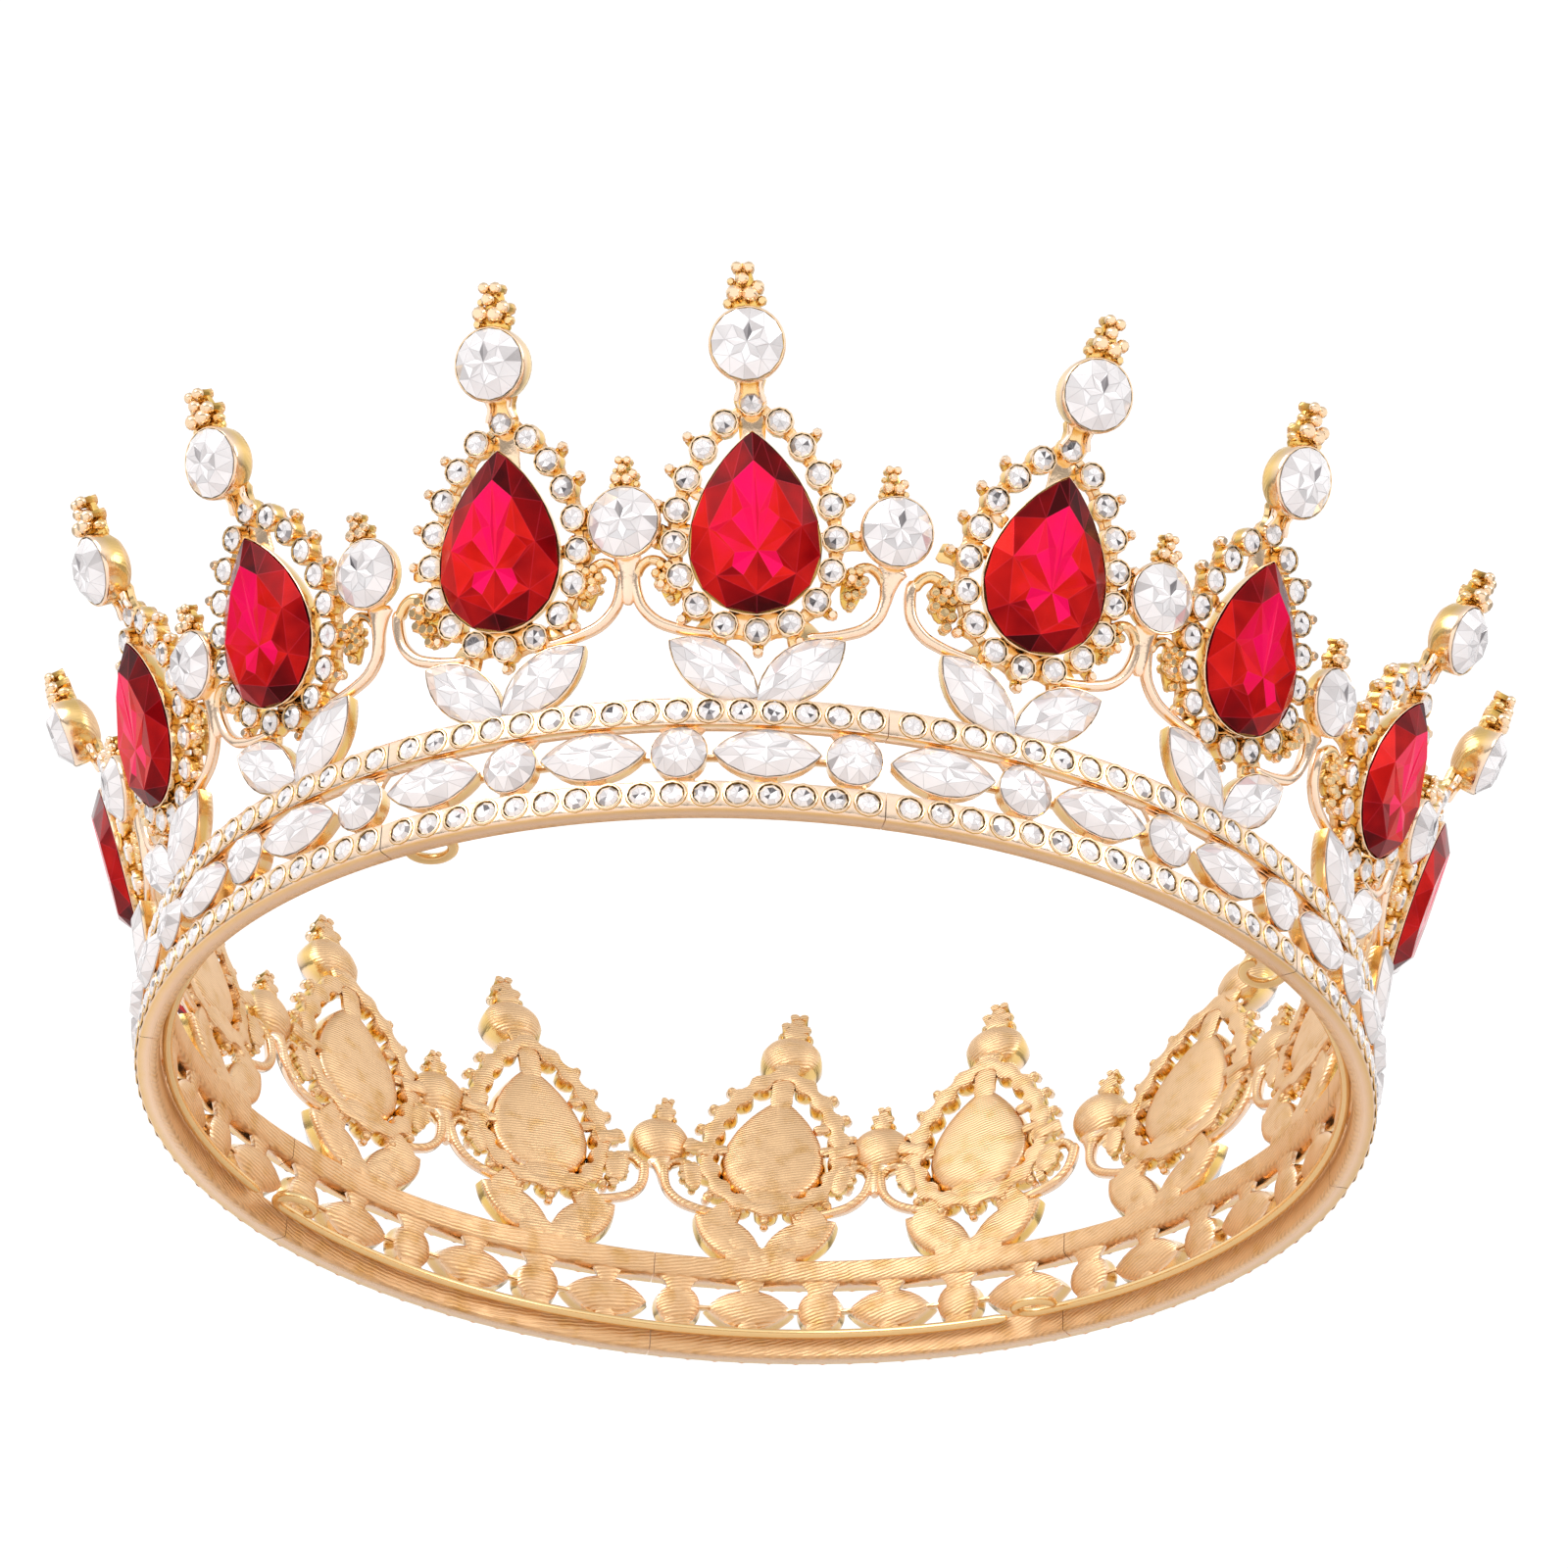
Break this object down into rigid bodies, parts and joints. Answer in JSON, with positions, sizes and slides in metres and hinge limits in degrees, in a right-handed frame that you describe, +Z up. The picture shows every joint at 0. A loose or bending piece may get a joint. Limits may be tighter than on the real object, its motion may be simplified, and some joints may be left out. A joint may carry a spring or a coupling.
{
  "type": "crown",
  "caption": "Round openwork crown: cast gold-tone ring with tall stone-set peaks that lean outward above a band of set stones, open in the middle for the head.",
  "frame": {"origin": "centre of the ring, in the plane of the lower rim's flat underside", "axes": "+Z up through the head opening, -Y towards the front, where one peak stands, +X to the right when seen from the front"},
  "size_m": [0.1872, 0.1872, 0.0619],
  "materials": {
    "gold_casting": "polished gold plating outside, satin cast surface inside",
    "gold_wire": "drawn wire, gold plated",
    "ruby_stone": "foil-backed cut glass, deep red",
    "clear_stone": "foil-backed cut glass, clear"
  },
  "bodies": {
    "root": {"segment_1": "gold_casting", "segment_2": "gold_casting", "segment_3": "gold_casting", "segment_4": "gold_casting", "segment_5": "gold_casting", "segment_6": "gold_casting", "segment_7": "gold_casting", "segment_8": "gold_casting", "rim_wire_1": "gold_wire", "rim_wire_2": "gold_wire", "rim_wire_3": "gold_wire", "rim_wire_4": "gold_wire", "pear_stone_01": "ruby_stone", "pear_stone_02": "ruby_stone", "pear_stone_03": "ruby_stone", "pear_stone_04": "ruby_stone", "pear_stone_05": "ruby_stone", "pear_stone_06": "ruby_stone", "pear_stone_07": "ruby_stone", "pear_stone_08": "ruby_stone", "pear_stone_09": "ruby_stone", "pear_stone_10": "ruby_stone", "pear_stone_11": "ruby_stone", "pear_stone_12": "ruby_stone", "pear_stone_13": "ruby_stone", "pear_stone_14": "ruby_stone", "pear_stone_15": "ruby_stone", "pear_stone_16": "ruby_stone", "peak_crystal_01": "clear_stone", "peak_crystal_02": "clear_stone", "peak_crystal_03": "clear_stone", "peak_crystal_04": "clear_stone", "peak_crystal_05": "clear_stone", "peak_crystal_06": "clear_stone", "peak_crystal_07": "clear_stone", "peak_crystal_08": "clear_stone", "peak_crystal_09": "clear_stone", "peak_crystal_10": "clear_stone", "peak_crystal_11": "clear_stone", "peak_crystal_12": "clear_stone", "peak_crystal_13": "clear_stone", "peak_crystal_14": "clear_stone", "peak_crystal_15": "clear_stone", "peak_crystal_16": "clear_stone", "valley_crystal_01": "clear_stone", "valley_crystal_02": "clear_stone", "valley_crystal_03": "clear_stone", "valley_crystal_04": "clear_stone", "valley_crystal_05": "clear_stone", "valley_crystal_06": "clear_stone", "valley_crystal_07": "clear_stone", "valley_crystal_08": "clear_stone", "valley_crystal_09": "clear_stone", "valley_crystal_10": "clear_stone", "valley_crystal_11": "clear_stone", "valley_crystal_12": "clear_stone", "valley_crystal_13": "clear_stone", "valley_crystal_14": "clear_stone", "valley_crystal_15": "clear_stone", "valley_crystal_16": "clear_stone"}
  },
  "joints": []
}
